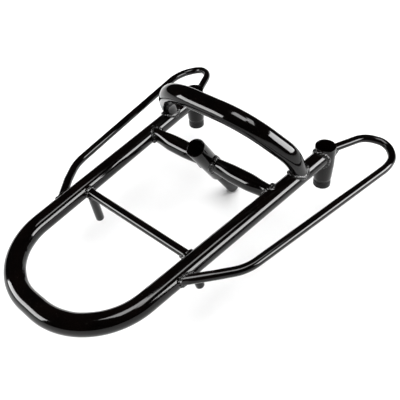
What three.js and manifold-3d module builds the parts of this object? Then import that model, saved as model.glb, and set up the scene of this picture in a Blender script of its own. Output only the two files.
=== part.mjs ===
// Tubular luggage rack (rear carrier): a welded frame of bent tube and round bar.
// X runs across the rack, Y runs from the rounded rear end to the front loops, Z is up.
// Everything is drawn with the hoop's centreline in the plane z = 0 and the start of its rear bend at y = 0.
// At the end the whole rack is moved so that its origin is the middle of the underside of its box.
import * as THREE from "three";
import { mergeVertices } from "three/addons/utils/BufferGeometryUtils.js";
import Module from "manifold-3d";

const wasm = await Module();
wasm.setup();

// ---- Driving dimensions, in millimetres ----
const GAP = 0.3; // clearance that pieces keep where they meet
const TUBE_R = 12.7; // main tube, outside
const TUBE_WALL = 1.6;
const ROD_R = 6; // round bar of the rails, the rear bar and the pegs

const HOOP_HALF_WIDTH = 96.4; // leg centreline at the start of the rear bend
const HOOP_SPLAY = THREE.MathUtils.degToRad(5);
const HOOP_BEND_R = 87.5;

const SLEEVE_Y = 336; // side sleeves, upright at the ends of the legs
const SLEEVE_R = 15.2;
const SLEEVE_TOP = 16.9;
const SLEEVE_TAPER_TOP = -16; // the sleeve narrows from here down to the spigot
const SLEEVE_TAPER_BOTTOM = -41;
const SLEEVE_BOTTOM = -45.2;
const SLEEVE_BORE_R = 13.3;
const SLEEVE_SEAT = -30; // where the wide bore ends and the bolt hole starts
const BOLT_HOLE_R = 4.3;
const SPIGOT_R = 13.1;
const SPIGOT_STEP = 0.6; // how far the taper ends outside the spigot
const SPACER_LENGTH = 11.5;
const HOST_REACH = 40; // half length of the cylinder that trims what meets a sleeve

const FRONT_TUBE_Y = 222.9;
const FRONT_TUBE_PINCH = 34; // length over which a pressed end opens out to the full round
const REAR_BAR_Y = 76.1;

const CENTRE_TILT = THREE.MathUtils.degToRad(31.1); // the centre sleeve's top leans to the rear
const CENTRE_R = 13.9;
const CENTRE_TOP = 50.1; // distances along the centre sleeve's own axis from the front tube
const CENTRE_BOTTOM = -39.5;
const CENTRE_SEAT = 10;
const CENTRE_BORE_R = 11.9;
const CENTRE_SPACER_R = 10.4;
const CENTRE_SPACER_LENGTH = 63.8;

const ARCH_Y = 271.6; // foot of the arch on the leg
const ARCH_SHOULDER = new THREE.Vector3(116.7, 262, 41.3); // corners of the arch before it is bent
const ARCH_HAUNCH = new THREE.Vector3(66.2, 223.7, 99.9);
const ARCH_SHOULDER_BEND = 60;
const ARCH_HAUNCH_BEND = 82;

const RAIL_BENDS = [44, 20, 35, 83, 75, 12];
const PEG_TOP = new THREE.Vector3(87.6, 76.2, -ROD_R - GAP);
const PEG_END = new THREE.Vector3(96.4, 85.8, -63.1);

const WELD_LEG = 3.2; // length of a weld bead's legs on the large tube
const SMALL_WELD_LEG = 2.4; // the same on the round bar
const WELD_GAP = 0.5; // a bead's clearance, larger because its short chords cut across the round
const CHAMFER = 1;
const RIM_CHAMFER = 0.5;
const CENTRE_FOOT_CHAMFER = 2;

const TUBE_SIDES = 24;
const ROD_SIDES = 14;
const LATHE_SIDES = 32;
const WELD_STATIONS = 20;
const BEND_STEP = THREE.MathUtils.degToRad(10);

const UP = new THREE.Vector3(0, 0, 1);
const ACROSS = new THREE.Vector3(1, 0, 0);

// ---- Materials ----
const GLOSS_BLACK = { color: 0x0b0a0a, roughness: 0.12, metalness: 0.1 };
const WELD_BLACK = { color: 0x0d0c0c, roughness: 0.22, metalness: 0.1 };
const BUSH_BLACK = { color: 0x121212, roughness: 0.45, metalness: 0 };

// ---- Small geometry helpers ----
const vec = (x, y, z) => new THREE.Vector3(x, y, z);
const unit = (from, to) => to.clone().sub(from).normalize();
const along = (start, direction, distance) => start.clone().addScaledVector(direction, distance);
const mix = (a, b, t) => a + (b - a) * t;

function smoothStep(t) {
  const u = THREE.MathUtils.clamp(t, 0, 1);
  return u * u * (3 - 2 * u);
}

// A path of straight runs joined by bends: stations with a point and a tangent, none of them repeated.
function bentPath(corners, bendRadii) {
  const last = corners.length - 1;
  const stations = [{ point: corners[0].clone(), tangent: unit(corners[0], corners[1]) }];
  for (let i = 1; i < last; i += 1) {
    const back = unit(corners[i], corners[i - 1]);
    const ahead = unit(corners[i], corners[i + 1]);
    const half = back.angleTo(ahead) / 2;
    const radius = bendRadii[i - 1];
    const inward = back.clone().add(ahead).normalize();
    const centre = along(corners[i], inward, radius / Math.sin(half));
    const start = along(corners[i], back, radius / Math.tan(half));
    const spoke = unit(centre, start);
    const heading = back.clone().negate();
    const turn = Math.PI - 2 * half;
    const steps = Math.max(2, Math.ceil(turn / BEND_STEP));
    for (let k = 0; k <= steps; k += 1) {
      const angle = (turn * k) / steps;
      const point = along(along(centre, spoke, radius * Math.cos(angle)), heading, radius * Math.sin(angle));
      const tangent = heading.clone().multiplyScalar(Math.cos(angle));
      tangent.addScaledVector(spoke, -Math.sin(angle));
      stations.push({ point, tangent });
    }
  }
  stations.push({ point: corners[last].clone(), tangent: unit(corners[last - 1], corners[last]) });
  return stations.filter((s, i) => i === 0 || s.point.distanceTo(stations[i - 1].point) > 0.01);
}

// An ellipse of points round a station: a along the side, b along the reference direction.
function sectionRing(station, reference, a, b, sides) {
  const side = station.tangent.clone().cross(reference).normalize();
  const up = side.clone().cross(station.tangent).normalize();
  const ring = [];
  for (let k = 0; k < sides; k += 1) {
    const angle = (2 * Math.PI * k) / sides;
    ring.push(along(along(station.point, side, a * Math.cos(angle)), up, b * Math.sin(angle)));
  }
  return ring;
}

function signedVolume(points, faces) {
  let sum = 0;
  for (const [i, j, k] of faces) sum += points[i].dot(points[j].clone().cross(points[k]));
  return sum / 6;
}

function meshGeometry(points, faces) {
  const outward = signedVolume(points, faces) > 0 ? faces : faces.map(([i, j, k]) => [i, k, j]);
  const geometry = new THREE.BufferGeometry().setFromPoints(points);
  geometry.setIndex(outward.flat());
  return geometry;
}

// Skins a row of rings. A closed row joins its last ring to its first; an open row gets flat end caps.
function skin(rings, closed) {
  const count = rings[0].length;
  const points = rings.flat();
  const faces = [];
  const rows = closed ? rings.length : rings.length - 1;
  for (let i = 0; i < rows; i += 1) {
    const here = i * count;
    const next = ((i + 1) % rings.length) * count;
    for (let j = 0; j < count; j += 1) {
      const j2 = (j + 1) % count;
      faces.push([here + j, next + j, here + j2]);
      faces.push([here + j2, next + j, next + j2]);
    }
  }
  if (!closed) {
    const end = (rings.length - 1) * count;
    for (let j = 1; j < count - 1; j += 1) {
      faces.push([0, j, j + 1]);
      faces.push([end, end + j + 1, end + j]);
    }
  }
  return meshGeometry(points, faces);
}

// A solid bar along stations. radiusAt gives [a, b] for each station.
function barAlong(stations, reference, radiusAt, sides) {
  const rings = stations.map((s, i) => sectionRing(s, reference, ...radiusAt(s, i), sides));
  return skin(rings, false);
}

// A tube with open ends: its outer rings one way, then its bore's rings the other way.
function tubeAlong(stations, reference, radiusAt, sides, wall) {
  const outer = stations.map((s, i) => sectionRing(s, reference, ...radiusAt(s, i), sides));
  const inner = stations.map((s, i) => {
    const [a, b] = radiusAt(s, i);
    return sectionRing(s, reference, a - wall, b - wall, sides);
  });
  return skin([...outer, ...inner.reverse()], true);
}

function straight(from, to) {
  const tangent = unit(from, to);
  return [{ point: from.clone(), tangent }, { point: to.clone(), tangent }];
}

// A turned piece about its own Z axis from a closed outline of [radius, height] pairs.
function turned(outline) {
  const profile = [...outline, outline[0]].map(([r, z]) => new THREE.Vector2(r, z));
  return new THREE.LatheGeometry(profile, LATHE_SIDES).rotateX(Math.PI / 2);
}

function toSolid(geometry) {
  const bare = new THREE.BufferGeometry();
  bare.setAttribute("position", geometry.getAttribute("position").clone());
  bare.setIndex(geometry.getIndex());
  const merged = mergeVertices(bare);
  const position = merged.getAttribute("position");
  const index = Array.from(merged.getIndex().array);
  const points = [];
  for (let i = 0; i < position.count; i += 1) {
    points.push(new THREE.Vector3().fromBufferAttribute(position, i));
  }
  const faces = [];
  for (let i = 0; i < index.length; i += 3) {
    const face = index.slice(i, i + 3);
    if (new Set(face).size === 3) faces.push(face);
  }
  const closed = meshGeometry(points, faces);
  return new wasm.Manifold(new wasm.Mesh({
    numProp: 3,
    vertProperties: new Float32Array(closed.getAttribute("position").array),
    triVerts: new Uint32Array(closed.getIndex().array),
  }));
}

function toGeometry(solid) {
  const mesh = solid.getMesh();
  const geometry = new THREE.BufferGeometry();
  geometry.setAttribute("position", new THREE.BufferAttribute(new Float32Array(mesh.vertProperties), 3));
  geometry.setIndex(Array.from(mesh.triVerts));
  return geometry;
}

function cut(geometry, cutters) {
  return toGeometry(cutters.reduce((solid, cutter) => solid.subtract(toSolid(cutter)), toSolid(geometry)));
}

function mirrored(geometry) {
  return toGeometry(toSolid(geometry.clone().scale(-1, 1, 1)));
}

// ---- Shared lines of the frame (right-hand side; the left is its mirror) ----
const legX = (y) => HOOP_HALF_WIDTH + Math.tan(HOOP_SPLAY) * y;
const legDirection = vec(Math.sin(HOOP_SPLAY), Math.cos(HOOP_SPLAY), 0);
const legPoint = (y) => vec(legX(y), y, 0);
const sleeveX = legX(SLEEVE_Y);
const centreAxis = vec(0, -Math.sin(CENTRE_TILT), Math.cos(CENTRE_TILT));
const centrePoint = vec(0, FRONT_TUBE_Y, 0);

// Round hosts that other pieces are cut and welded to.
const leg = { point: legPoint(0), axis: legDirection, radius: TUBE_R };
const rearBar = { point: vec(0, REAR_BAR_Y, 0), axis: ACROSS, radius: ROD_R };
const sideSleeve = { point: legPoint(SLEEVE_Y), axis: UP, radius: SLEEVE_R };
const centreSleeve = { point: centrePoint, axis: centreAxis, radius: CENTRE_R };

const leftHost = (host) => ({
  point: vec(-host.point.x, host.point.y, host.point.z),
  axis: vec(-host.axis.x, host.axis.y, host.axis.z),
  radius: host.radius,
});

// A plain cylinder a gap larger than a host, used to cut what meets it.
function clearanceOf(host, from, to, reference = UP) {
  const stations = straight(along(host.point, host.axis, from), along(host.point, host.axis, to));
  const radius = host.radius + GAP;
  return barAlong(stations, reference, () => [radius, radius], LATHE_SIDES);
}

// A weld bead: a ring with a rounded triangular section in the corner between a tube and its host.
// tube: a point on its axis, the direction towards the host, its side and its two half sizes.
function weldBead(tube, host, size) {
  const reach = host.radius + WELD_GAP;
  const side = tube.side.clone().addScaledVector(tube.direction, -tube.side.dot(tube.direction)).normalize();
  const up = side.clone().cross(tube.direction).normalize();
  const rings = [];
  for (let k = 0; k < WELD_STATIONS; k += 1) {
    const angle = (2 * Math.PI * k) / WELD_STATIONS;
    const [a, b] = tube.radii;
    const offset = side.clone().multiplyScalar((a + WELD_GAP) * Math.cos(angle));
    offset.addScaledVector(up, (b + WELD_GAP) * Math.sin(angle));
    const outward = offset.clone().normalize();
    const start = tube.point.clone().add(offset);
    const toStart = start.clone().sub(host.point);
    const startAcross = toStart.clone().addScaledVector(host.axis, -toStart.dot(host.axis));
    const stepAcross = tube.direction.clone().addScaledVector(host.axis, -tube.direction.dot(host.axis));
    const squared = stepAcross.lengthSq();
    const halfB = startAcross.dot(stepAcross);
    const root = Math.sqrt(Math.max(0, halfB * halfB - squared * (startAcross.lengthSq() - reach * reach)));
    const corner = along(start, tube.direction, (-halfB - root) / squared);
    const onAxis = (p) => along(host.point, host.axis, p.clone().sub(host.point).dot(host.axis));
    const hostNormal = unit(onAxis(corner), corner);
    const spread = outward.clone().add(tube.direction);
    spread.addScaledVector(hostNormal, -spread.dot(hostNormal)).normalize();
    const far = along(corner, spread, size);
    const height = Math.max(reach, onAxis(corner).distanceTo(corner));
    const onHost = along(onAxis(far), unit(onAxis(far), far), height);
    const onTube = along(corner, tube.direction, -size);
    const bulge = outward.clone().add(hostNormal).normalize();
    const crest = (t) => along(onTube.clone().lerp(onHost, t), bulge, 0.32 * size);
    rings.push([corner, onTube, crest(0.3), crest(0.7), onHost]);
  }
  return skin(rings, true);
}

// ---- Main hoop: two splayed legs and the rounded rear end ----
function mainHoop() {
  const legEnd = legPoint(SLEEVE_Y);
  const tipDepth = HOOP_BEND_R * (1 - Math.sin(HOOP_SPLAY));
  const corner = legPoint(-tipDepth);
  const corners = [legEnd, corner, vec(-corner.x, corner.y, 0), vec(-legEnd.x, legEnd.y, 0)];
  const path = bentPath(corners, [HOOP_BEND_R, HOOP_BEND_R]);
  const tube = tubeAlong(path, UP, () => [TUBE_R, TUBE_R], TUBE_SIDES, TUBE_WALL);
  return cut(tube, [sideSleeveClearance(), leftSleeveClearance()]);
}

function sideSleeveClearance() {
  return clearanceOf(sideSleeve, -HOST_REACH, HOST_REACH, ACROSS);
}

function leftSleeveClearance() {
  return clearanceOf(leftHost(sideSleeve), -HOST_REACH, HOST_REACH, ACROSS);
}

function legClearance() {
  return clearanceOf(leg, 0, SLEEVE_Y);
}

function leftLegClearance() {
  return clearanceOf(leftHost(leg), 0, SLEEVE_Y);
}

// ---- Round bar between the legs ----
function rearCrossBar() {
  const end = legPoint(REAR_BAR_Y);
  const bar = barAlong(straight(end, vec(-end.x, end.y, 0)), UP, () => [ROD_R, ROD_R], ROD_SIDES);
  return cut(bar, [legClearance(), leftLegClearance()]);
}

// ---- Half of the front cross tube, from the centre sleeve to a leg, with both ends pressed narrower ----
const PRESSED_AT_SLEEVE = [9.4, 12.4]; // half sizes along Y and Z
const PRESSED_AT_LEG = [8.6, 12];

function frontTubeHalf() {
  const inner = CENTRE_R;
  const outer = legX(FRONT_TUBE_Y) - TUBE_R;
  const sectionAt = (x) => {
    const openIn = smoothStep((x - inner) / FRONT_TUBE_PINCH);
    const openOut = smoothStep((outer - x) / FRONT_TUBE_PINCH);
    return [0, 1].map((k) => {
      const fromSleeve = mix(PRESSED_AT_SLEEVE[k], TUBE_R, openIn);
      const fromLeg = mix(PRESSED_AT_LEG[k], TUBE_R, openOut);
      return Math.min(fromSleeve, fromLeg);
    });
  };
  const pinchSteps = [0, 0.3, 0.6, 1].map((t) => t * FRONT_TUBE_PINCH);
  const opening = pinchSteps.map((d) => inner + d);
  const closing = pinchSteps.map((d) => outer - d).reverse();
  const places = [CENTRE_R - TUBE_R, ...opening, ...closing, outer + TUBE_R];
  const stations = places.map((x) => ({ point: vec(x, FRONT_TUBE_Y, 0), tangent: ACROSS.clone() }));
  const tube = tubeAlong(stations, UP, (s) => sectionAt(s.point.x), TUBE_SIDES, TUBE_WALL);
  return cut(tube, [legClearance(), clearanceOf(centreSleeve, -HOST_REACH, HOST_REACH, ACROSS)]);
}

// ---- Grab arch: an oval tube whose feet stand on the legs ----
const ARCH_CROWN_HALF = [11.9, 14.3]; // half sizes in the arch's plane and across it
const ARCH_FOOT_HALF = [10.8, 12.5];
const ARCH_BLEND = 40; // height over which the foot's section opens out to the crown's

const archFoot = vec(legX(ARCH_Y), ARCH_Y, TUBE_R);
const archFootDown = unit(ARCH_SHOULDER, archFoot);
const archLean = unit(vec(0, archFoot.y, archFoot.z), vec(0, ARCH_HAUNCH.y, ARCH_HAUNCH.z));
const archNormal = vec(0, archLean.z, -archLean.y); // square to the arch, towards the front

function grabArch() {
  const inLeg = along(archFoot, archFootDown, TUBE_R);
  const rightHalf = [inLeg, ARCH_SHOULDER, ARCH_HAUNCH];
  const leftHalf = rightHalf.map((p) => vec(-p.x, p.y, p.z)).reverse();
  const bends = [ARCH_SHOULDER_BEND, ARCH_HAUNCH_BEND, ARCH_HAUNCH_BEND, ARCH_SHOULDER_BEND];
  const path = bentPath([...rightHalf, ...leftHalf], bends);
  const sectionAt = (s) => {
    const t = smoothStep((s.point.z - TUBE_R) / ARCH_BLEND);
    return [0, 1].map((k) => mix(ARCH_FOOT_HALF[k], ARCH_CROWN_HALF[k], t));
  };
  const tube = tubeAlong(path, archNormal, sectionAt, TUBE_SIDES, TUBE_WALL);
  return cut(tube, [legClearance(), leftLegClearance()]);
}

// ---- Side rail: from the sleeve forward, down round the loop, back beside the leg and in to it ----
function railCorners() {
  return [
    vec(sleeveX + 3, SLEEVE_Y + 13, 3.8),
    vec(153.5, 405.3, 2.3),
    vec(183, 420, -5),
    vec(203.1, 401.7, -9.1),
    vec(206.9, 374.3, -7.7),
    vec(156.5, 104.9, -3.2),
    vec(133.6, 73.1, 0.5),
    vec(106.2, 40, 2.4),
  ];
}

function railBar(radius) {
  return barAlong(bentPath(railCorners(), RAIL_BENDS), UP, () => [radius, radius], ROD_SIDES);
}

function sideRail() {
  return cut(railBar(ROD_R), [legClearance(), sideSleeveClearance()]);
}

// ---- Turned sleeves and the spacers under them ----
function onSleeveAxis(geometry) {
  return geometry.translate(sleeveX, SLEEVE_Y, 0);
}

function mountingSleeve() {
  return onSleeveAxis(turned([
    [SLEEVE_BORE_R, SLEEVE_TOP],
    [SLEEVE_R - RIM_CHAMFER, SLEEVE_TOP],
    [SLEEVE_R, SLEEVE_TOP - RIM_CHAMFER],
    [SLEEVE_R, SLEEVE_TAPER_TOP],
    [SPIGOT_R + SPIGOT_STEP, SLEEVE_TAPER_BOTTOM],
    [SPIGOT_R, SLEEVE_TAPER_BOTTOM - CHAMFER],
    [SPIGOT_R, SLEEVE_BOTTOM],
    [BOLT_HOLE_R, SLEEVE_BOTTOM],
    [BOLT_HOLE_R, SLEEVE_SEAT],
    [SLEEVE_BORE_R, SLEEVE_SEAT],
  ]));
}

function spacer(radius, top, length) {
  return turned([
    [BOLT_HOLE_R, top],
    [radius, top],
    [radius, top - length + CHAMFER],
    [radius - CHAMFER, top - length],
    [BOLT_HOLE_R, top - length],
  ]);
}

function spacerBush() {
  return onSleeveAxis(spacer(SPIGOT_R, SLEEVE_BOTTOM - GAP, SPACER_LENGTH));
}

function leanWithCentre(geometry) {
  return geometry.rotateX(CENTRE_TILT).translate(0, FRONT_TUBE_Y, 0);
}

function centreSleeveBody() {
  return leanWithCentre(turned([
    [CENTRE_BORE_R, CENTRE_TOP],
    [CENTRE_R - RIM_CHAMFER, CENTRE_TOP],
    [CENTRE_R, CENTRE_TOP - RIM_CHAMFER],
    [CENTRE_R, CENTRE_BOTTOM + CENTRE_FOOT_CHAMFER],
    [CENTRE_R - CENTRE_FOOT_CHAMFER, CENTRE_BOTTOM],
    [BOLT_HOLE_R, CENTRE_BOTTOM],
    [BOLT_HOLE_R, CENTRE_SEAT],
    [CENTRE_BORE_R, CENTRE_SEAT],
  ]));
}

function centreSpacer() {
  return leanWithCentre(spacer(CENTRE_SPACER_R, CENTRE_BOTTOM - GAP, CENTRE_SPACER_LENGTH));
}

// ---- Weld beads and where each one sits ----
const ROD_HALF = [ROD_R, ROD_R];
const WELD_RUN = 60; // a point this far back along a tube is surely clear of its host

function hoopSleeveWeld() {
  const tube = {
    point: legPoint(SLEEVE_Y - WELD_RUN),
    direction: legDirection,
    side: ACROSS,
    radii: [TUBE_R, TUBE_R],
  };
  return weldBead(tube, sideSleeve, WELD_LEG);
}

function archWeld() {
  const tube = {
    point: along(archFoot, archFootDown, -WELD_RUN),
    direction: archFootDown,
    side: ACROSS,
    radii: ARCH_FOOT_HALF,
  };
  return weldBead(tube, leg, WELD_LEG);
}

function frontTubeLegWeld() {
  const tube = {
    point: vec(WELD_RUN, FRONT_TUBE_Y, 0),
    direction: ACROSS,
    side: vec(0, 1, 0),
    radii: PRESSED_AT_LEG,
  };
  return weldBead(tube, leg, WELD_LEG);
}

function frontTubeSleeveWeld() {
  const tube = {
    point: vec(WELD_RUN, FRONT_TUBE_Y, 0),
    direction: vec(-1, 0, 0),
    side: vec(0, 1, 0),
    radii: PRESSED_AT_SLEEVE,
  };
  return weldBead(tube, centreSleeve, WELD_LEG);
}

function rearBarWeld() {
  const tube = { point: vec(0, REAR_BAR_Y, 0), direction: ACROSS, side: vec(0, 1, 0), radii: ROD_HALF };
  return weldBead(tube, leg, SMALL_WELD_LEG);
}

function railSleeveWeld() {
  const [end, next] = railCorners();
  const tube = { point: next, direction: unit(next, end), side: ACROSS, radii: ROD_HALF };
  return weldBead(tube, sideSleeve, SMALL_WELD_LEG);
}

function railLegWeld() {
  const [end, before] = railCorners().reverse();
  const tube = { point: before, direction: unit(before, end), side: vec(0, 1, 0), radii: ROD_HALF };
  return weldBead(tube, leg, SMALL_WELD_LEG);
}

function pegWeld() {
  const tube = { point: PEG_END, direction: unit(PEG_END, PEG_TOP), side: ACROSS, radii: ROD_HALF };
  return weldBead(tube, rearBar, SMALL_WELD_LEG);
}

// Only the peg's inboard side has room for a bead of its own, so the rest is cut away.
function pegWeldTrimmed() {
  const keepOut = clearanceOf({ ...leg, radius: TUBE_R + ROD_R }, 0, SLEEVE_Y);
  return cut(pegWeld(), [keepOut]);
}

// ---- Locating peg under the end of the rear bar ----
function locatingPeg() {
  const down = unit(PEG_TOP, PEG_END);
  const points = [PEG_TOP, along(PEG_END, down, -CHAMFER), PEG_END];
  const stations = points.map((point) => ({ point, tangent: down }));
  const radii = [ROD_R, ROD_R, ROD_R - CHAMFER];
  const peg = barAlong(stations, ACROSS, (s, i) => [radii[i], radii[i]], ROD_SIDES);
  const beadRadius = ROD_R + WELD_GAP + SMALL_WELD_LEG;
  const beadStart = legX(REAR_BAR_Y) - TUBE_R - WELD_GAP - SMALL_WELD_LEG - GAP;
  const beadZone = clearanceOf({ ...rearBar, radius: beadRadius }, beadStart, legX(REAR_BAR_Y));
  return cut(peg, [legClearance(), beadZone]);
}

// ---- Gusset: a small plate in the corner under the start of the side rail ----
const GUSSET_REACH = 14;
const GUSSET_DROP = 24;
const GUSSET_THICKNESS = 3;

function railGusset() {
  const [end, next] = railCorners();
  const heading = vec(next.x - end.x, next.y - end.y, 0).normalize();
  const outline = new THREE.Shape();
  outline.moveTo(0, 0);
  outline.lineTo(GUSSET_REACH, 0);
  outline.lineTo(0, -GUSSET_DROP);
  outline.closePath();
  const plate = new THREE.ExtrudeGeometry(outline, { depth: GUSSET_THICKNESS, bevelEnabled: false });
  plate.translate(0, 0, -GUSSET_THICKNESS / 2);
  const placed = new THREE.Matrix4().makeBasis(heading, UP, heading.clone().cross(UP));
  placed.setPosition(end.x, end.y, end.z);
  plate.applyMatrix4(placed);
  const beadZone = { point: end, axis: unit(end, next), radius: ROD_R + SMALL_WELD_LEG + 2 * WELD_GAP };
  const beadLength = SLEEVE_R - end.distanceTo(vec(sleeveX, SLEEVE_Y, end.z)) + SMALL_WELD_LEG + 2 * WELD_GAP;
  return cut(plate, [sideSleeveClearance(), railBar(ROD_R + GAP), clearanceOf(beadZone, -1, beadLength)]);
}

// ---- The rack as a group of named meshes ----
const rack = new THREE.Group();

function addPiece(name, geometry, finish) {
  const mesh = new THREE.Mesh(geometry, new THREE.MeshStandardMaterial(finish));
  mesh.name = name;
  rack.add(mesh);
}

function addPair(name, geometry, finish) {
  addPiece(`${name}_right`, geometry, finish);
  addPiece(`${name}_left`, mirrored(geometry), finish);
}

addPiece("main_hoop", mainHoop(), GLOSS_BLACK);
addPiece("rear_cross_bar", rearCrossBar(), GLOSS_BLACK);
addPiece("grab_arch", grabArch(), GLOSS_BLACK);
addPiece("centre_sleeve", toGeometry(toSolid(centreSleeveBody())), GLOSS_BLACK);
addPiece("centre_spacer", toGeometry(toSolid(centreSpacer())), GLOSS_BLACK);
addPair("front_cross_tube", frontTubeHalf(), GLOSS_BLACK);
addPair("side_rail", sideRail(), GLOSS_BLACK);
addPair("mounting_sleeve", toGeometry(toSolid(mountingSleeve())), GLOSS_BLACK);
addPair("spacer_bush", toGeometry(toSolid(spacerBush())), BUSH_BLACK);
addPair("locating_peg", locatingPeg(), GLOSS_BLACK);
addPair("rail_gusset", railGusset(), GLOSS_BLACK);
addPair("weld_hoop_sleeve", hoopSleeveWeld(), WELD_BLACK);
addPair("weld_arch_hoop", archWeld(), WELD_BLACK);
addPair("weld_front_tube_hoop", frontTubeLegWeld(), WELD_BLACK);
addPair("weld_front_tube_sleeve", frontTubeSleeveWeld(), WELD_BLACK);
addPair("weld_rear_bar_hoop", rearBarWeld(), WELD_BLACK);
addPair("weld_rail_sleeve", railSleeveWeld(), WELD_BLACK);
addPair("weld_rail_hoop", railLegWeld(), WELD_BLACK);
addPair("weld_peg_bar", pegWeldTrimmed(), WELD_BLACK);

// The origin goes to the middle of the underside of the rack's box.
const box = new THREE.Box3().setFromObject(rack);
const middle = box.getCenter(new THREE.Vector3());
for (const mesh of rack.children) mesh.geometry.translate(0, -middle.y, -box.min.z);

export default rack;
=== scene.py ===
# Tubular luggage rack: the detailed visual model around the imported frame.
# Shapes are drawn in millimetres, with the hoop's centreline at z = 0 and the centre of its rear bend's
# start at y = 0. They are moved into the frame's own place when each mesh is made.
import math

import bpy
from mathutils import Matrix, Vector, noise


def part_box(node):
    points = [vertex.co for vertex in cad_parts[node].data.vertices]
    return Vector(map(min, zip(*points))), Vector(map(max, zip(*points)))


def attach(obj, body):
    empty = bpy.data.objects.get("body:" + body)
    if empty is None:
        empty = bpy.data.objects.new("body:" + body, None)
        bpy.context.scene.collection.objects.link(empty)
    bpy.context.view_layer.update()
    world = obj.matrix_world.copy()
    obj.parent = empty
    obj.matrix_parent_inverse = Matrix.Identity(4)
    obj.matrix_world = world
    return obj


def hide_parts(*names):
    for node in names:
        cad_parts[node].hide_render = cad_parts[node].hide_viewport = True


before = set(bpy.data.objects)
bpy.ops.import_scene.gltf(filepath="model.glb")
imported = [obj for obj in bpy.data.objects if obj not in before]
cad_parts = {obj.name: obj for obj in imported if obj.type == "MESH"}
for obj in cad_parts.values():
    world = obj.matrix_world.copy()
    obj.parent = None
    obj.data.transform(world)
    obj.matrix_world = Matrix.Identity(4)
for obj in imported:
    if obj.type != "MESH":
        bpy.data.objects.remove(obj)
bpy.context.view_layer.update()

MM = 0.001
UP = Vector((0, 0, 1))
ACROSS = Vector((1, 0, 0))

# ---- Driving dimensions, in millimetres ----
TUBE_R = 12.7
TUBE_WALL = 1.6
ROD_R = 6
HOOP_HALF_WIDTH = 96.4
HOOP_SPLAY = math.radians(5)
HOOP_BEND_R = 87.5
SLEEVE_Y = 336
SLEEVE_R = 15.2
SLEEVE_TOP = 16.9
SLEEVE_TAPER_TOP = -16
SLEEVE_TAPER_BOTTOM = -41
SLEEVE_BOTTOM = -45.2
SLEEVE_BORE_R = 13.3
SLEEVE_SEAT = -30
BOLT_HOLE_R = 4.3
SPIGOT_R = 13.1
SPIGOT_STEP = 0.6
SPACER_LENGTH = 11.5
GAP = 0.3
FRONT_TUBE_Y = 222.9
FRONT_TUBE_PINCH = 34
PRESSED_AT_SLEEVE = (9.4, 12.4)
PRESSED_AT_LEG = (8.6, 12)
REAR_BAR_Y = 76.1
CENTRE_TILT = math.radians(31.1)
CENTRE_R = 13.9
CENTRE_TOP = 50.1
CENTRE_BOTTOM = -39.5
CENTRE_SEAT = 10
CENTRE_BORE_R = 11.9
CENTRE_SPACER_R = 10.4
CENTRE_SPACER_LENGTH = 63.8
ARCH_Y = 271.6
ARCH_SHOULDER = Vector((116.7, 262, 41.3))
ARCH_HAUNCH = Vector((66.2, 223.7, 99.9))
ARCH_BENDS = (60, 82, 82, 60)
ARCH_CROWN_HALF = (11.9, 14.3)
ARCH_FOOT_HALF = (10.8, 12.5)
ARCH_BLEND = 40
RAIL_BENDS = (44, 20, 35, 83, 75, 12)
PEG_TOP = Vector((87.6, 76.2, -6.3))
PEG_END = Vector((96.4, 85.8, -63.1))
GUSSET_REACH = 14
GUSSET_DROP = 24
GUSSET_THICKNESS = 3
GUSSET_TOP = 1 - ROD_R
GUSSET_EDGE_DROP = ROD_R + 2
GUSSET_ROUND = 1.2
CENTRE_EDGE = 2
SPACER_EDGE = 1
SPACER_ROUND = 0.6
PEG_TIP_ROUND = 1.6

# ---- How finely the shapes are drawn ----
TUBE_SIDES = 64
ROD_SIDES = 40
TURNED_SIDES = 96
BEND_STEP = math.radians(2.5)
MIN_BEND_STEPS = 3
RUN_STEP = 9
SAME_PLACE = 0.01
FRONT_TUBE_STEPS = 30
PEG_TIP_STEPS = 6
EDGE_ROUND = 0.5
EDGE_STEPS = 3
SHARP_EDGE = 40
WELD_SHARP_EDGE = 60

# ---- The frame's place: the rear bar's centre fixes the drawing's origin ----
bar_low, bar_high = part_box("rear_cross_bar")
ORIGIN = (bar_low + bar_high) / 2 - Vector((0, REAR_BAR_Y * MM, 0))


def leg_x(y):
    return HOOP_HALF_WIDTH + math.tan(HOOP_SPLAY) * y


def leg_point(y):
    return Vector((leg_x(y), y, 0))


LEG_DIRECTION = Vector((math.sin(HOOP_SPLAY), math.cos(HOOP_SPLAY), 0))
SLEEVE_X = leg_x(SLEEVE_Y)
SLEEVE_PLACE = Vector((SLEEVE_X, SLEEVE_Y, 0))
UPRIGHT = Matrix.Identity(3)
CENTRE_LEAN = Matrix.Rotation(CENTRE_TILT, 3, "X")
CENTRE_AXIS = Vector((0, -math.sin(CENTRE_TILT), math.cos(CENTRE_TILT)))
ARCH_FOOT = Vector((leg_x(ARCH_Y), ARCH_Y, TUBE_R))
ARCH_FOOT_DOWN = (ARCH_FOOT - ARCH_SHOULDER).normalized()
ARCH_NORMAL = Vector((0, ARCH_HAUNCH.z - ARCH_FOOT.z, ARCH_FOOT.y - ARCH_HAUNCH.y)).normalized()

# Round hosts that other pieces end on: a point on the axis, the axis and the radius.
LEG = (leg_point(0), LEG_DIRECTION, TUBE_R)
REAR_BAR = (Vector((0, REAR_BAR_Y, 0)), ACROSS, ROD_R)
SIDE_SLEEVE = (SLEEVE_PLACE, UP, SLEEVE_R)
CENTRE_SLEEVE = (Vector((0, FRONT_TUBE_Y, 0)), CENTRE_AXIS, CENTRE_R)


def left_host(host):
    place, axis, radius = host
    return Vector((-place.x, place.y, place.z)), Vector((-axis.x, axis.y, axis.z)), radius


def mix(a, b, t):
    return a + (b - a) * t


def smooth_step(t):
    t = max(0.0, min(1.0, t))
    return t * t * (3 - 2 * t)


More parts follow.
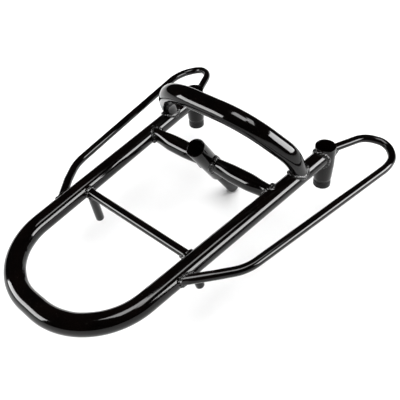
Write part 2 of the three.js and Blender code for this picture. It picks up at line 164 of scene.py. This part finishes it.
# ---- Paths and sections ----
def bent_path(corners, radii):
    """Stations of (point, tangent) along straight runs joined by round bends."""
    stations = [(corners[0], (corners[1] - corners[0]).normalized())]
    for i in range(1, len(corners) - 1):
        back = (corners[i - 1] - corners[i]).normalized()
        ahead = (corners[i + 1] - corners[i]).normalized()
        half = back.angle(ahead) / 2
        radius = radii[i - 1]
        centre = corners[i] + (back + ahead).normalized() * (radius / math.sin(half))
        start = corners[i] + back * (radius / math.tan(half))
        spoke = (start - centre).normalized()
        turn = math.pi - 2 * half
        steps = max(MIN_BEND_STEPS, math.ceil(turn / BEND_STEP))
        for k in range(steps + 1):
            angle = turn * k / steps
            point = centre + spoke * (radius * math.cos(angle)) - back * (radius * math.sin(angle))
            tangent = -back * math.cos(angle) - spoke * math.sin(angle)
            stations.append((point, tangent.normalized()))
    stations.append((corners[-1], (corners[-1] - corners[-2]).normalized()))
    return with_runs_divided(stations)


def with_runs_divided(stations):
    """Adds stations so that no run is longer than the run step."""
    out = [stations[0]]
    for (a, ta), (b, tb) in zip(stations, stations[1:]):
        length = (b - a).length
        if length < SAME_PLACE:
            continue
        steps = max(1, math.ceil(length / RUN_STEP))
        for k in range(1, steps + 1):
            t = k / steps
            out.append((a.lerp(b, t), ta.lerp(tb, t).normalized()))
    return out


def straight_path(start, end):
    tangent = (end - start).normalized()
    return with_runs_divided([(start, tangent), (end, tangent)])


def section(station, reference, a, b, sides):
    """An ellipse of points round a station: a along the side, b along the reference direction."""
    point, tangent = station
    side = tangent.cross(reference).normalized()
    up = side.cross(tangent).normalized()
    ring = []
    for k in range(sides):
        angle = 2 * math.pi * k / sides
        ring.append(point + side * (a * math.cos(angle)) + up * (b * math.sin(angle)))
    return ring


def onto_host(point, direction, host):
    """Where a line first meets a round host, or its nearest pass if it misses."""
    place, axis, radius = host
    away = point - place
    away -= axis * away.dot(axis)
    across = direction - axis * direction.dot(axis)
    squared = across.length_squared
    half_b = away.dot(across)
    root = math.sqrt(max(0.0, half_b * half_b - squared * (away.length_squared - radius * radius)))
    return point + direction * ((-half_b - root) / squared)


# ---- Meshes ----
def new_piece(name, points, faces, material, node, sharp=SHARP_EDGE):
    """Makes a piece from points in millimetres, in place of the named CAD node."""
    mesh = bpy.data.meshes.new(name)
    mesh.from_pydata([ORIGIN + p * MM for p in points], [], faces)
    mesh.validate()
    if signed_volume(mesh) < 0:
        mesh.flip_normals()
    mesh.shade_smooth()
    mesh.set_sharp_from_angle(angle=math.radians(sharp))
    mesh.materials.append(material)
    piece = bpy.data.objects.new(name, mesh)
    bpy.context.scene.collection.objects.link(piece)
    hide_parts(node)
    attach(piece, "root")


def signed_volume(mesh):
    total = 0.0
    for face in mesh.polygons:
        corners = [mesh.vertices[i].co for i in face.vertices]
        for b, c in zip(corners[1:], corners[2:]):
            total += corners[0].dot(b.cross(c))
    return total


def skin(rings, closed):
    """Joins a row of rings. A closed row joins last to first; an open row gets flat ends."""
    count = len(rings[0])
    points = [p for ring in rings for p in ring]
    faces = []
    rows = len(rings) if closed else len(rings) - 1
    for i in range(rows):
        here = i * count
        there = ((i + 1) % len(rings)) * count
        for j in range(count):
            k = (j + 1) % count
            faces.append((here + j, there + j, there + k, here + k))
    if not closed:
        last = (len(rings) - 1) * count
        faces.append(tuple(reversed(range(count))))
        faces.append(tuple(range(last, last + count)))
    return points, faces


def coped(rings, start, end, towards_start, towards_end):
    """Lets the first and last ring of a tube follow the round of the hosts that they end on."""
    rings[0] = [onto_host(p, towards_start, start) for p in rings[0]]
    rings[-1] = [onto_host(p, towards_end, end) for p in rings[-1]]
    return rings


def tube_skin(stations, reference, half_sizes, sides, wall, ends):
    """A hollow tube: outer rings one way and bore rings the other way, with shaped ends."""
    outer = [section(s, reference, *half_sizes(s), sides) for s in stations]
    inner = [section(s, reference, *[h - wall for h in half_sizes(s)], sides) for s in stations]
    return skin(ends(outer) + list(reversed(ends(inner))), True)


def turned(outline, lean, place):
    """A turned piece about Z from a closed outline of (radius, height), then leaned and placed."""
    rings = []
    for radius, height in outline:
        ring = []
        for k in range(TURNED_SIDES):
            angle = 2 * math.pi * k / TURNED_SIDES
            ring.append(lean @ Vector((radius * math.cos(angle), radius * math.sin(angle), height)) + place)
        rings.append(ring)
    return skin(rings, True)


def rounded(outline, radius=EDGE_ROUND):
    """Rounds every corner of a closed outline by a small radius."""
    out = []
    count = len(outline)
    for i, here in enumerate(outline):
        here = Vector(here)
        before = Vector(outline[i - 1]) - here
        after = Vector(outline[(i + 1) % count]) - here
        reach = min(radius, before.length * 0.4, after.length * 0.4)
        a = here + before.normalized() * reach
        b = here + after.normalized() * reach
        for k in range(EDGE_STEPS + 1):
            t = k / EDGE_STEPS
            point = a.lerp(here, t).lerp(here.lerp(b, t), t)
            out.append((point.x, point.y))
    return out


def mirrored(points):
    return [Vector((-p.x, p.y, p.z)) for p in points]


def pair(name, make, material):
    """A right-hand piece and its mirrored left-hand twin."""
    points, faces = make()
    new_piece(f"{name}_detail_right", points, faces, material, f"{name}_right")
    new_piece(f"{name}_detail_left", mirrored(points), faces, material, f"{name}_left")


# ---- Materials ----
DUST_COLOUR = (0.22, 0.21, 0.2, 1)
PEEL_DEPTH = 0.0004


def noise_in(tree, scale, detail):
    """The strength of a noise that is fixed to the piece."""
    place = tree.nodes.new("ShaderNodeTexCoord")
    made = tree.nodes.new("ShaderNodeTexNoise")
    made.inputs["Scale"].default_value = scale
    made.inputs["Detail"].default_value = detail
    tree.links.new(place.outputs["Object"], made.inputs["Vector"])
    return made.outputs["Fac"]


def ramp_in(tree, source, low, high, low_value, high_value):
    """Turns a strength between low and high into a value between two others."""
    made = tree.nodes.new("ShaderNodeMapRange")
    made.inputs["From Min"].default_value = low
    made.inputs["From Max"].default_value = high
    made.inputs["To Min"].default_value = low_value
    made.inputs["To Max"].default_value = high_value
    tree.links.new(source, made.inputs["Value"])
    return made.outputs["Result"]


def mix_in(tree, factor, first, second):
    """A mix of two colours by a strength."""
    made = tree.nodes.new("ShaderNodeMix")
    made.data_type = "RGBA"
    made.inputs["A"].default_value = first
    made.inputs["B"].default_value = second
    tree.links.new(factor, made.inputs["Factor"])
    return made


def node_material(name, base, base_light, roughness, peel_scale, peel_strength, specular, dust):
    """Gloss paint: mottled colour, uneven roughness, orange peel and a little dust."""
    material = bpy.data.materials.new(name)
    material.use_nodes = True
    tree = material.node_tree
    shader = tree.nodes["Principled BSDF"]
    shader.inputs["Specular IOR Level"].default_value = specular
    mottle = ramp_in(tree, noise_in(tree, 28, 3), 0.35, 0.7, 0, 1)
    colour = mix_in(tree, mottle, (*base, 1), (*base_light, 1))
    specks = ramp_in(tree, noise_in(tree, 900, 1), 0.74, 0.8, 0, dust)
    dusty = mix_in(tree, specks, (*base, 1), DUST_COLOUR)
    tree.links.new(colour.outputs["Result"], dusty.inputs["A"])
    tree.links.new(dusty.outputs["Result"], shader.inputs["Base Color"])
    haze = ramp_in(tree, noise_in(tree, 60, 4), 0.3, 0.75, *roughness)
    tree.links.new(haze, shader.inputs["Roughness"])
    bump = tree.nodes.new("ShaderNodeBump")
    bump.inputs["Strength"].default_value = peel_strength
    bump.inputs["Distance"].default_value = PEEL_DEPTH
    tree.links.new(noise_in(tree, peel_scale, 2), bump.inputs["Height"])
    tree.links.new(bump.outputs["Normal"], shader.inputs["Normal"])
    return material


PAINT = node_material(
    "gloss_black_paint",
    base=(0.0006, 0.0004, 0.0004),
    base_light=(0.0018, 0.001, 0.0008),
    roughness=(0.05, 0.11),
    peel_scale=420,
    peel_strength=0.05,
    specular=0.25,
    dust=0.1,
)
WELD_PAINT = node_material(
    "painted_weld",
    base=(0.0008, 0.0006, 0.0005),
    base_light=(0.002, 0.0014, 0.0012),
    roughness=(0.08, 0.2),
    peel_scale=650,
    peel_strength=0.35,
    specular=0.3,
    dust=0.12,
)
BUSH_RUBBER = node_material(
    "black_bush",
    base=(0.0012, 0.0012, 0.0012),
    base_light=(0.003, 0.0028, 0.0026),
    roughness=(0.3, 0.5),
    peel_scale=1500,
    peel_strength=0.4,
    specular=0.2,
    dust=0.15,
)


# ---- Main hoop ----
CREASE_START_Y = 8
CREASE_FADE = 20
CREASE_WAVES = 9
CREASE_WAVE_DEPTH = 0.11
CREASE_LUMP_DEPTH = 0.5
CREASE_LUMP_SCALE = 0.045
CREASE_SPREAD = 1.3


def hoop_path():
    end = leg_point(SLEEVE_Y - 4)
    corner = leg_point(-HOOP_BEND_R * (1 - math.sin(HOOP_SPLAY)))
    left_corner, left_end = mirrored([corner, end])
    return bent_path([end, corner, left_corner, left_end], [HOOP_BEND_R, HOOP_BEND_R])


def crease_depth(point):
    """Slight compression waves that the bender leaves on the inside of the rear bend."""
    inside = smooth_step((CREASE_START_Y - point.y) / CREASE_FADE)
    wave = CREASE_WAVE_DEPTH * math.sin(math.atan2(point.x, -point.y) * CREASE_WAVES)
    lump = CREASE_LUMP_DEPTH * noise.noise(point * CREASE_LUMP_SCALE)
    return inside * (wave + lump)


def hoop_ring(point, tangent):
    """The hoop's outer skin at one station, with the waves on the side that faces inwards."""
    outward = Vector((point.x, point.y, 0)).normalized()
    ring = []
    for p in section((point, tangent), UP, TUBE_R, TUBE_R, TUBE_SIDES):
        normal = (p - point).normalized()
        inner_side = smooth_step(-normal.dot(outward) * CREASE_SPREAD)
        ring.append(p + normal * (inner_side * crease_depth(point)))
    return ring


def main_hoop():
    bore = TUBE_R - TUBE_WALL
    stations = hoop_path()
    outer = [hoop_ring(*s) for s in stations]
    inner = [section(s, UP, bore, bore, TUBE_SIDES) for s in stations]
    left_direction = left_host(LEG)[1]
    for rings in (outer, inner):
        coped(rings, SIDE_SLEEVE, left_host(SIDE_SLEEVE), LEG_DIRECTION, left_direction)
    points, faces = skin(outer + list(reversed(inner)), True)
    new_piece("main_hoop_detail", points, faces, PAINT, "main_hoop")


# ---- Rear cross bar ----
def rear_cross_bar():
    right_end = Vector((leg_x(REAR_BAR_Y) - TUBE_R - 2, REAR_BAR_Y, 0))
    left_end = mirrored([right_end])[0]
    rings = [section(s, UP, ROD_R, ROD_R, ROD_SIDES) for s in straight_path(right_end, left_end)]
    coped(rings, LEG, left_host(LEG), ACROSS, -ACROSS)
    points, faces = skin(rings, False)
    new_piece("rear_cross_bar_detail", points, faces, PAINT, "rear_cross_bar")


# ---- Grab arch ----
def arch_half_sizes(station):
    t = smooth_step((station[0].z - TUBE_R) / ARCH_BLEND)
    return [mix(ARCH_FOOT_HALF[k], ARCH_CROWN_HALF[k], t) for k in (0, 1)]


def grab_arch():
    right = [ARCH_FOOT - ARCH_FOOT_DOWN, ARCH_SHOULDER, ARCH_HAUNCH]
    stations = bent_path([*right, *mirrored(reversed(right))], ARCH_BENDS)
    left_down = mirrored([ARCH_FOOT_DOWN])[0]

    def feet(rings):
        return coped(rings, LEG, left_host(LEG), ARCH_FOOT_DOWN, left_down)

    points, faces = tube_skin(stations, ARCH_NORMAL, arch_half_sizes, TUBE_SIDES, TUBE_WALL, feet)
    new_piece("grab_arch_detail", points, faces, PAINT, "grab_arch")


# ---- Front cross tube halves ----
def front_half_sizes(station):
    x = station[0].x
    outer = leg_x(FRONT_TUBE_Y) - TUBE_R
    open_in = smooth_step((x - CENTRE_R) / FRONT_TUBE_PINCH)
    open_out = smooth_step((outer - x) / FRONT_TUBE_PINCH)
    sizes = []
    for at_sleeve, at_leg in zip(PRESSED_AT_SLEEVE, PRESSED_AT_LEG):
        sizes.append(min(mix(at_sleeve, TUBE_R, open_in), mix(at_leg, TUBE_R, open_out)))
    return sizes


def front_cross_tube():
    inner = Vector((CENTRE_R + 1, FRONT_TUBE_Y, 0))
    outer = Vector((leg_x(FRONT_TUBE_Y) - TUBE_R - 1, FRONT_TUBE_Y, 0))
    stations = []
    for k in range(FRONT_TUBE_STEPS + 1):
        stations.append((inner.lerp(outer, k / FRONT_TUBE_STEPS), ACROSS))

    def ends(rings):
        return coped(rings, CENTRE_SLEEVE, LEG, -ACROSS, ACROSS)

    return tube_skin(stations, UP, front_half_sizes, TUBE_SIDES, TUBE_WALL, ends)


# ---- Side rails ----
def rail_corners():
    return [
        Vector((SLEEVE_X + 3, SLEEVE_Y + 13, 3.8)),
        Vector((153.5, 405.3, 2.3)),
        Vector((183, 420, -5)),
        Vector((203.1, 401.7, -9.1)),
        Vector((206.9, 374.3, -7.7)),
        Vector((156.5, 104.9, -3.2)),
        Vector((133.6, 73.1, 0.5)),
        Vector((106.2, 40, 2.4)),
    ]


def side_rail():
    corners = rail_corners()
    first = (corners[0] - corners[1]).normalized()
    last = (corners[-1] - corners[-2]).normalized()
    corners[0] = onto_host(corners[1], first, SIDE_SLEEVE) - first * 2
    corners[-1] = onto_host(corners[-2], last, LEG) - last * 2
    rings = [section(s, UP, ROD_R, ROD_R, ROD_SIDES) for s in bent_path(corners, RAIL_BENDS)]
    return skin(coped(rings, SIDE_SLEEVE, LEG, first, last), False)


# ---- Turned pieces ----
def mounting_sleeve():
    outline = [
        (SLEEVE_BORE_R, SLEEVE_TOP),
        (SLEEVE_R, SLEEVE_TOP),
        (SLEEVE_R, SLEEVE_TAPER_TOP),
        (SPIGOT_R + SPIGOT_STEP, SLEEVE_TAPER_BOTTOM),
        (SPIGOT_R, SLEEVE_TAPER_BOTTOM - 1),
        (SPIGOT_R, SLEEVE_BOTTOM),
        (BOLT_HOLE_R, SLEEVE_BOTTOM),
        (BOLT_HOLE_R, SLEEVE_SEAT),
        (SLEEVE_BORE_R, SLEEVE_SEAT),
    ]
    return turned(rounded(outline), UPRIGHT, SLEEVE_PLACE)


def spacer_outline(radius, top, length):
    outline = [
        (BOLT_HOLE_R, top),
        (radius, top),
        (radius, top - length + SPACER_EDGE),
        (radius - SPACER_EDGE, top - length),
        (BOLT_HOLE_R, top - length),
    ]
    return rounded(outline, SPACER_ROUND)


def spacer_bush():
    outline = spacer_outline(SPIGOT_R, SLEEVE_BOTTOM - GAP, SPACER_LENGTH)
    return turned(outline, UPRIGHT, SLEEVE_PLACE)


def centre_sleeve():
    outline = [
        (CENTRE_BORE_R, CENTRE_TOP),
        (CENTRE_R, CENTRE_TOP),
        (CENTRE_R, CENTRE_BOTTOM + CENTRE_EDGE),
        (CENTRE_R - CENTRE_EDGE, CENTRE_BOTTOM),
        (BOLT_HOLE_R, CENTRE_BOTTOM),
        (BOLT_HOLE_R, CENTRE_SEAT),
        (CENTRE_BORE_R, CENTRE_SEAT),
    ]
    points, faces = turned(rounded(outline), CENTRE_LEAN, CENTRE_SLEEVE[0])
    new_piece("centre_sleeve_detail", points, faces, PAINT, "centre_sleeve")


def centre_spacer():
    outline = spacer_outline(CENTRE_SPACER_R, CENTRE_BOTTOM - GAP, CENTRE_SPACER_LENGTH)
    points, faces = turned(outline, CENTRE_LEAN, CENTRE_SLEEVE[0])
    new_piece("centre_spacer_detail", points, faces, PAINT, "centre_spacer")


# ---- Locating pegs ----
def locating_peg():
    """A round rod from the bar down to a tip with a rounded edge."""
    down = (PEG_END - PEG_TOP).normalized()
    straight = (PEG_END - PEG_TOP).length - PEG_TIP_ROUND
    stations = straight_path(PEG_TOP, PEG_TOP + down * straight)
    rings = [section(s, ACROSS, ROD_R, ROD_R, ROD_SIDES) for s in stations]
    for k in range(1, PEG_TIP_STEPS + 1):
        angle = math.pi / 2 * k / PEG_TIP_STEPS
        radius = ROD_R - PEG_TIP_ROUND * (1 - math.cos(angle))
        height = straight + PEG_TIP_ROUND * math.sin(angle)
        rings.append(section((PEG_TOP + down * height, down), ACROSS, radius, radius, ROD_SIDES))
    return skin(rings, False)


# ---- Gussets ----
GUSSET_SINK = 0.6
# Each layer's lift, and its place across the thickness. The two faces are lifted to soften the lower edge.
GUSSET_LAYERS = ((0.5, -0.5), (0, -0.35), (0, 0.35), (0.5, 0.5))


def rail_gusset():
    """A small plate between the start of a side rail and its sleeve."""
    start = rail_corners()[0]
    ahead = rail_corners()[1] - start
    heading = Vector((ahead.x, ahead.y, 0)).normalized()
    across = heading.cross(UP)
    sleeve_depth = math.sqrt((SLEEVE_R - GUSSET_SINK) ** 2 - (start.x - SLEEVE_X) ** 2)
    near = sleeve_depth - (start.y - SLEEVE_Y)
    outline = [
        (near, GUSSET_TOP),
        (GUSSET_REACH, GUSSET_TOP),
        (GUSSET_REACH, -GUSSET_EDGE_DROP),
        (near + 2, -GUSSET_DROP),
        (near, -GUSSET_DROP),
    ]
    rings = []
    for inset, offset in GUSSET_LAYERS:
        ring = []
        for x, z in rounded(outline, GUSSET_ROUND):
            ring.append(start + heading * x + UP * (z + inset) + across * (offset * GUSSET_THICKNESS))
        rings.append(ring)
    return skin(rings, False)


# ---- Weld beads ----
BEAD_STATIONS = 132
BEAD_POINTS = 11
LARGE_BEAD = 4.2
SMALL_BEAD = 3.4
BEAD_ROOT = 0.8
BEAD_SINK = 0.05
BEAD_CROWN = 0.34
LUMP_SIZE = 0.3
LUMP_SCALE = 0.16
RIPPLE_PITCH = 3.4
RIPPLE_BOW = 0.45
RIPPLE_SHARPNESS = 1.6
RIPPLE_SIZE = 0.24
GRAIN_SIZE = 0.16
GRAIN_SCALE = 0.55
LEFT_SEED_STEP = 40
ALONG = Vector((0, 1, 0))
ROD_RADII = (ROD_R, ROD_R)
TUBE_RADII = (TUBE_R, TUBE_R)


def nearest_on_axis(point, place, axis):
    return place + axis * (point - place).dot(axis)


def ripple(walked, t):
    """The bowed ridges that each puddle of weld leaves, from 0 to 1, at t across the bead."""
    crescent = walked / RIPPLE_PITCH + RIPPLE_BOW * (1 - (2 * t - 1) ** 2)
    return 1 - abs(2 * (crescent % 1.0) - 1) ** RIPPLE_SHARPNESS


def bead_ring(corner, outward, direction, host, size, walked, offset):
    """One slice of a weld bead, from the tube's side of the corner to the host's side."""
    place, axis, radius = host
    host_normal = (corner - nearest_on_axis(corner, place, axis)).normalized()
    spread = outward + direction
    spread = (spread - host_normal * spread.dot(host_normal)).normalized()
    local = size * (1 + LUMP_SIZE * noise.noise(corner * LUMP_SCALE + offset))
    far = corner + spread * local
    far_axis = nearest_on_axis(far, place, axis)
    on_host = far_axis + (far - far_axis).normalized() * (radius - BEAD_SINK)
    on_tube = corner - direction * local - outward * BEAD_SINK
    bulge = (outward + host_normal).normalized()
    ring = [corner - bulge * BEAD_ROOT]
    for m in range(BEAD_POINTS):
        t = m / (BEAD_POINTS - 1)
        grain = noise.noise(corner * GRAIN_SCALE + offset * 2 + bulge * t)
        swell = BEAD_CROWN + RIPPLE_SIZE * (ripple(walked, t) - 0.5) + GRAIN_SIZE * grain
        height = math.sin(math.pi * t) * local * swell
        ring.append(on_tube.lerp(on_host, t) + bulge * height)
    return ring


def weld_bead(tube_point, direction, side, radii, host, size, seed):
    """A rippled ring of weld in the corner between a tube and its round host."""
    offset = Vector((seed * 7.31, seed * 3.17, seed * 5.03))
    side = (side - direction * side.dot(direction)).normalized()
    up = side.cross(direction).normalized()
    rings = []
    walked = 0.0
    previous = None
    for k in range(BEAD_STATIONS):
        angle = 2 * math.pi * k / BEAD_STATIONS
        cosine = math.cos(angle)
        sine = math.sin(angle)
        arm = side * (radii[0] * cosine) + up * (radii[1] * sine)
        outward = (side * (cosine / radii[0]) + up * (sine / radii[1])).normalized()
        corner = onto_host(tube_point + arm, direction, host)
        if previous:
            walked += (corner - previous).length
        previous = corner
        rings.append(bead_ring(corner, outward, direction, host, size, walked, offset))
    return skin(rings, True)


def hoop_sleeve_weld(seed):
    point = leg_point(SLEEVE_Y - 60)
    return weld_bead(point, LEG_DIRECTION, ACROSS, TUBE_RADII, SIDE_SLEEVE, LARGE_BEAD, seed)


def arch_hoop_weld(seed):
    point = ARCH_FOOT - ARCH_FOOT_DOWN * 30
    return weld_bead(point, ARCH_FOOT_DOWN, ACROSS, ARCH_FOOT_HALF, LEG, LARGE_BEAD, seed)


def front_tube_leg_weld(seed):
    point = Vector((60, FRONT_TUBE_Y, 0))
    return weld_bead(point, ACROSS, ALONG, PRESSED_AT_LEG, LEG, LARGE_BEAD, seed)


def front_tube_sleeve_weld(seed):
    point = Vector((60, FRONT_TUBE_Y, 0))
    return weld_bead(point, -ACROSS, ALONG, PRESSED_AT_SLEEVE, CENTRE_SLEEVE, LARGE_BEAD, seed)


def rear_bar_weld(seed):
    point = Vector((50, REAR_BAR_Y, 0))
    return weld_bead(point, ACROSS, ALONG, ROD_RADII, LEG, SMALL_BEAD, seed)


def rail_sleeve_weld(seed):
    end, start = rail_corners()[:2]
    direction = (end - start).normalized()
    return weld_bead(start, direction, ACROSS, ROD_RADII, SIDE_SLEEVE, SMALL_BEAD, seed)


def rail_leg_weld(seed):
    start, end = rail_corners()[-2:]
    direction = (end - start).normalized()
    return weld_bead(start, direction, ALONG, ROD_RADII, LEG, SMALL_BEAD, seed)


def peg_weld(seed):
    direction = (PEG_TOP - PEG_END).normalized()
    return weld_bead(PEG_END, direction, ACROSS, ROD_RADII, REAR_BAR, SMALL_BEAD, seed)


def weld_pair(name, make, seed):
    """A bead on the right, and a mirrored one on the left that is lumpy in its own way."""
    for hand in ("right", "left"):
        if hand == "right":
            points, faces = make(seed)
        else:
            points, faces = make(seed + LEFT_SEED_STEP)
            points = mirrored(points)
        piece_name = f"{name}_detail_{hand}"
        new_piece(piece_name, points, faces, WELD_PAINT, f"{name}_{hand}", WELD_SHARP_EDGE)


# ---- The whole rack ----
main_hoop()
rear_cross_bar()
grab_arch()
centre_sleeve()
centre_spacer()
pair("front_cross_tube", front_cross_tube, PAINT)
pair("side_rail", side_rail, PAINT)
pair("mounting_sleeve", mounting_sleeve, PAINT)
pair("spacer_bush", spacer_bush, BUSH_RUBBER)
pair("locating_peg", locating_peg, PAINT)
pair("rail_gusset", rail_gusset, PAINT)
weld_pair("weld_hoop_sleeve", hoop_sleeve_weld, 1)
weld_pair("weld_arch_hoop", arch_hoop_weld, 2)
weld_pair("weld_front_tube_hoop", front_tube_leg_weld, 3)
weld_pair("weld_front_tube_sleeve", front_tube_sleeve_weld, 4)
weld_pair("weld_rear_bar_hoop", rear_bar_weld, 5)
weld_pair("weld_rail_sleeve", rail_sleeve_weld, 6)
weld_pair("weld_rail_hoop", rail_leg_weld, 7)
weld_pair("weld_peg_bar", peg_weld, 8)


# ---- Floor, light and camera ----
FLOOR_HALF = 4.0
WORLD_LEVEL = 0.02
LIGHT_AIM = Vector((0, 0, 0.1))
SOFTBOX_DISTANCE = 2
FILL_DISTANCE = 2.6
CAMERA_AZIMUTH = math.radians(40.519)
CAMERA_ELEVATION = math.radians(37.591)
CAMERA_ROLL = math.radians(-2.492)
CAMERA_OFFSET = Vector((0.39104, -0.20977, 0.50249))


def seen_from(azimuth, elevation):
    """The direction towards an azimuth (0 is -Y, 90 degrees is +X) and an elevation."""
    level = math.cos(elevation)
    return Vector((math.sin(azimuth) * level, -math.cos(azimuth) * level, math.sin(elevation)))


def floor_material():
    material = bpy.data.materials.new("pale_floor")
    material.use_nodes = True
    tree = material.node_tree
    shader = tree.nodes["Principled BSDF"]
    shader.inputs["Specular IOR Level"].default_value = 0.1
    grain = noise_in(tree, 12, 2)
    colour = mix_in(tree, grain, (0.9, 0.9, 0.9, 1), (0.93, 0.93, 0.93, 1))
    tree.links.new(colour.outputs["Result"], shader.inputs["Base Color"])
    tree.links.new(ramp_in(tree, grain, 0, 1, 0.7, 0.85), shader.inputs["Roughness"])
    return material


def make_floor():
    mesh = bpy.data.meshes.new("studio_floor")
    signs = ((-1, -1), (1, -1), (1, 1), (-1, 1))
    mesh.from_pydata([(x * FLOOR_HALF, y * FLOOR_HALF, 0) for x, y in signs], [], [(0, 1, 2, 3)])
    mesh.materials.append(floor_material())
    floor = bpy.data.objects.new("studio_floor", mesh)
    bpy.context.scene.collection.objects.link(floor)


def lamp_at(name, azimuth, elevation, distance, width, height, watts):
    """A rectangular light at an azimuth and an elevation in degrees, turned towards the rack."""
    towards = seen_from(math.radians(azimuth), math.radians(elevation))
    light = bpy.data.lights.new(name, "AREA")
    light.shape = "RECTANGLE"
    light.size = width
    light.size_y = height
    light.energy = watts
    lamp = bpy.data.objects.new(name, light)
    lamp.location = LIGHT_AIM + towards * distance
    lamp.rotation_euler = towards.to_track_quat("Z", "Y").to_euler()
    bpy.context.scene.collection.objects.link(lamp)
    return lamp


def streak_box(name, azimuth, elevation, width, height, brightness):
    """A softbox that is seen only as a reflection in the paint."""
    watts = brightness * math.pi * width * height
    lamp = lamp_at(name, azimuth, elevation, SOFTBOX_DISTANCE, width, height, watts)
    lamp.visible_diffuse = False


def fill_light(name, size, watts):
    """A wide overhead light that whitens the floor and isn't seen in the paint."""
    lamp = lamp_at(name, 0, 90, FILL_DISTANCE, size, size, watts)
    lamp.visible_glossy = False


def make_world():
    world = bpy.data.worlds.new("studio")
    world.use_nodes = True
    background = world.node_tree.nodes["Background"]
    background.inputs["Color"].default_value = (1, 1, 1, 1)
    background.inputs["Strength"].default_value = WORLD_LEVEL
    bpy.context.scene.world = world


def make_camera():
    """A camera whose picture is shifted off its axis, as in a cropped picture."""
    back = seen_from(CAMERA_AZIMUTH, CAMERA_ELEVATION)
    level = Vector((math.cos(CAMERA_AZIMUTH), math.sin(CAMERA_AZIMUTH), 0))
    upright = back.cross(level)
    right = level * math.cos(CAMERA_ROLL) + upright * math.sin(CAMERA_ROLL)
    up = back.cross(right)
    data = bpy.data.cameras.new("camera")
    data.sensor_width = 36
    data.lens = 47.667
    data.shift_x = -0.04683
    data.shift_y = -0.17042
    data.clip_start = 0.01
    data.clip_end = 50
    camera = bpy.data.objects.new("camera", data)
    turn = Matrix((right, up, back)).transposed().to_4x4()
    camera.matrix_world = Matrix.Translation(ORIGIN + CAMERA_OFFSET) @ turn
    bpy.context.scene.collection.objects.link(camera)
    bpy.context.scene.camera = camera


make_floor()
make_world()
fill_light("fill_top", 4.5, 230)
streak_box("softbox_front_left", -38, 17, 1.5, 0.8, 19)
streak_box("softbox_right", 122, 19, 1.5, 0.8, 22)
streak_box("softbox_high_right", 120, 62, 1.1, 0.35, 11)
streak_box("softbox_top", 90, 80, 0.9, 0.9, 13)
make_camera()
bpy.context.scene.view_settings.view_transform = "Standard"
